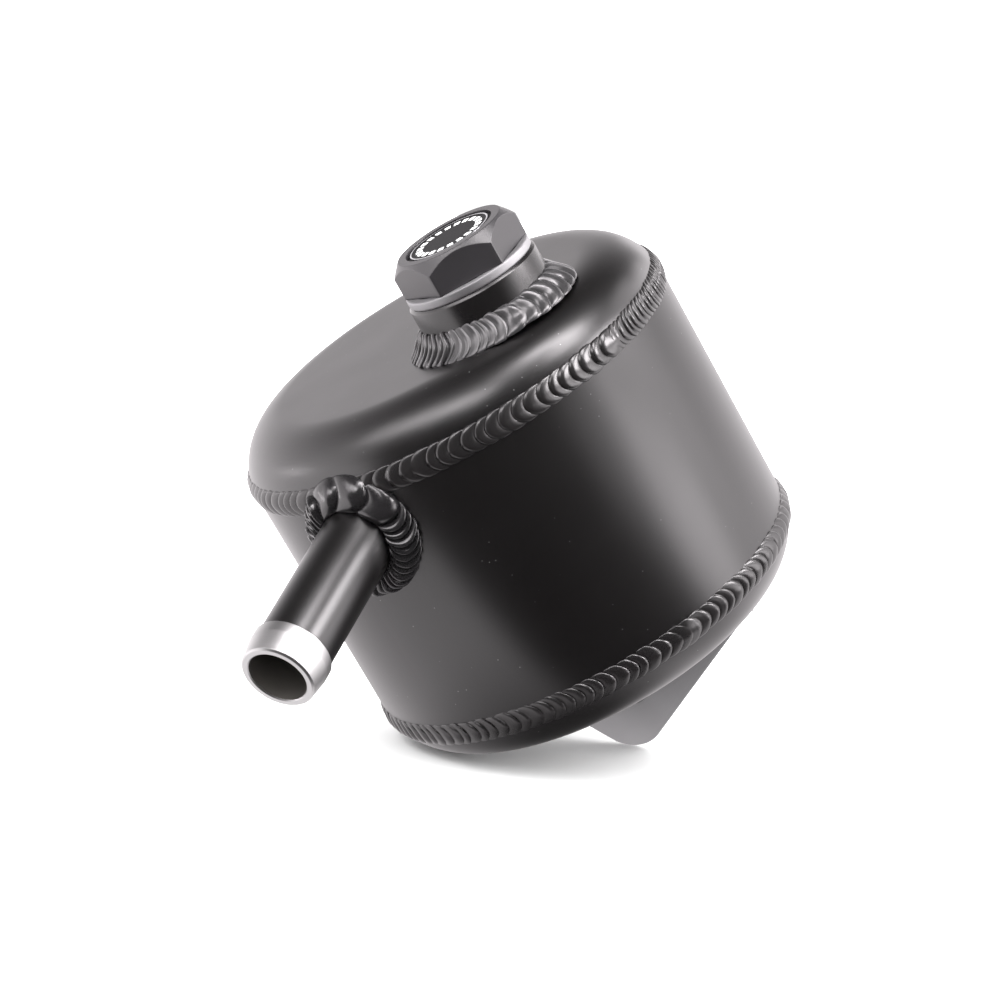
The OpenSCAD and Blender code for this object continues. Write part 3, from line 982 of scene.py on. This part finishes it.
def make_welds(dark, grey, gloss):
    seam_len = TURN * CAN_R
    seam_count = ripples(seam_len)
    make_bead(
        "weld_seam_top", "top_seam_weld", dark, Matrix(), seam_count, seam_len,
        seam_section(SEAM_TOP, 1), SEAM_BEAD_W / 2, SEAM_BEAD_H, 3, way=-1,
        zones=[(0, 9, 0.62, 0.75, 1), (seam_count - 20, seam_count - 1, 0.62, 0.75, 1)], spots=[
            (angle_to_ripple(-21.5, seam_count, -1), -0.1, 2.6 * MM, 1.2),
            (angle_to_ripple(-80, seam_count, -1), 0.1, 2.2 * MM, 0.9),
            (angle_to_ripple(100, seam_count, -1), 0.0, 2.4 * MM, 1.0)])
    make_bead(
        "weld_seam_low", "bottom_seam_weld", dark, Matrix(), seam_count, seam_len,
        seam_section(SEAM_LOW, -1), SEAM_BEAD_W / 2, SEAM_BEAD_H, 5, spots=[
            (angle_to_ripple(-42, seam_count), -0.3, 3 * MM, 1.5),
            (angle_to_ripple(120, seam_count), 0.1, 2.4 * MM, 1.0)])
    boss_len = TURN * (BOSS_R + BOSS_BEAD_W / 2)
    boss_count = ripples(boss_len)

    def at_boss(angle):
        return round(angle_to_ripple(angle, boss_count))

    make_bead(
        "weld_boss", "filler_boss_weld", grey, Matrix.Translation(BOSS_AT + Vector((0, 0, TOP))),
        boss_count, boss_len, boss_section, math.hypot(BOSS_BEAD_W, BOSS_BEAD_H) / 2, 1.2 * MM, 8,
        bow=0.6, depth=0.5, fine=(3, 0.012), spots=[
            (angle_to_ripple(-45, boss_count), -0.1, 2.6 * MM, 0.9),
            (angle_to_ripple(150, boss_count), 0.0, 2.4 * MM, 0.9)],
        zones=[
            (at_boss(-180), at_boss(-108), 0.6, 1.4, 1), (at_boss(-104), at_boss(-60), 0.66, 0.35, 2),
            (0, at_boss(30), 1.15, 1.3, 1), (at_boss(-40), boss_count - 1, 1.15, 1.3, 1)])
    tail_len = TURN * TAIL_BEAD_MID
    tail_count = round(tail_len / TAIL_RIPPLE_PITCH)
    for name, place, node, seed in (
            ("weld_inlet", INLET, "inlet_tail_weld", 11), ("weld_outlet", OUTLET, "outlet_tail_weld", 12)):
        make_bead(
            name, node, gloss, place, tail_count, tail_len, tail_section, (TAIL_BEAD_R - TAIL_R) / 2,
            2.4 * MM, seed, depth=0.7, fine=(3, 0.01), lumps=0.16,
            zones=[(0, 1, 4, 0.85, 1), (tail_count - 1, tail_count - 1, 3.6, 0.85, 1)])


# The parts

BLACK = (0.0052, 0.0042, 0.0045)

make_camera()
make_studio()
shell_black = grained("anodised_black", BLACK, 0, 0.3, dust=0.14 * MM)
boss_black = grained("anodised_boss", BLACK, 0, 0.27)
plug_black = grained("anodised_plug", (0.026, 0.0235, 0.027), 0, 0.38, grain=0.2 * MM, depth=0.006 * MM)
tail_black = grained("anodised_tail", BLACK, 0, 0.31)
weld_dark = grained("anodised_weld", (0.013, 0.0115, 0.012), 0, 0.28, grain=0.5 * MM, depth=0.006 * MM)
weld_grey = grained("anodised_fillet", (0.042, 0.04, 0.042), 0.25, 0.24, grain=0.4 * MM, depth=0.008 * MM)
weld_gloss = grained("anodised_bead", (0.014, 0.013, 0.014), 0.1, 0.22, grain=0.8 * MM, depth=0.01 * MM)
tail_axis = INLET.to_3x3().col[2]
tip_bare = turned("turned_bare", (0.58, 0.582, 0.58), 0.4, INLET.translation, tail_axis, depth=0.001 * MM)
bore_metal = grained("bore_metal", (0.13, 0.12, 0.11), 0.6, 0.5)
washer_metal = turned("washer_metal", (0.5, 0.5, 0.51), 0.68, BOSS_AT, (0, 0, 1), along=False)
rubber = grained("seal_rubber", (0.02, 0.02, 0.02), 0, 0.6, ior=1.5)
thread_metal = grained("thread_metal", (0.03, 0.03, 0.033), 0.3, 0.3)
disc_face = grained("disc_face", (0.006, 0.006, 0.008), 0, 0.5, ior=1.25)
disc_ring = turned("disc_ring", (0.75, 0.76, 0.78), 0.25, BOSS_AT, (0, 0, 1), along=False)
# The tab's plate is a lighter grey than the other anodised parts. Part of that is painted light, raised to
# make up for the can's shade on it
tab_satin_painted_light = grained("anodised_tab", (0.24, 0.24, 0.245), 0.4, 0.45)
print_white = grained("print_white", (0.7, 0.7, 0.7), 0, 0.5, ior=1.45)
mill = turned("mill_plate", (0.6, 0.61, 0.63), 0.35, BOSS_AT, (1, 0, 0))

make_can_body(shell_black)
make_caps(shell_black)
make_boss(boss_black)
make_plug(plug_black, thread_metal)
make_disc(disc_face, disc_ring, print_white)
make_washer(washer_metal, rubber)
for name, place, node in (("tail_in", INLET, "inlet_tail"), ("tail_out", OUTLET, "outlet_tail")):
    make_tail(name, place, node, [tail_black, tip_bare, bore_metal])
make_welds(weld_dark, weld_grey, weld_gloss)
make_tab(tab_satin_painted_light)

for node, material in (("tab_weld", weld_dark), ("baffle_plate", mill), ("baffle_tacks", mill)):
    shown = frame["nodes"][node]
    shown.data.materials.clear()
    shown.data.materials.append(material)
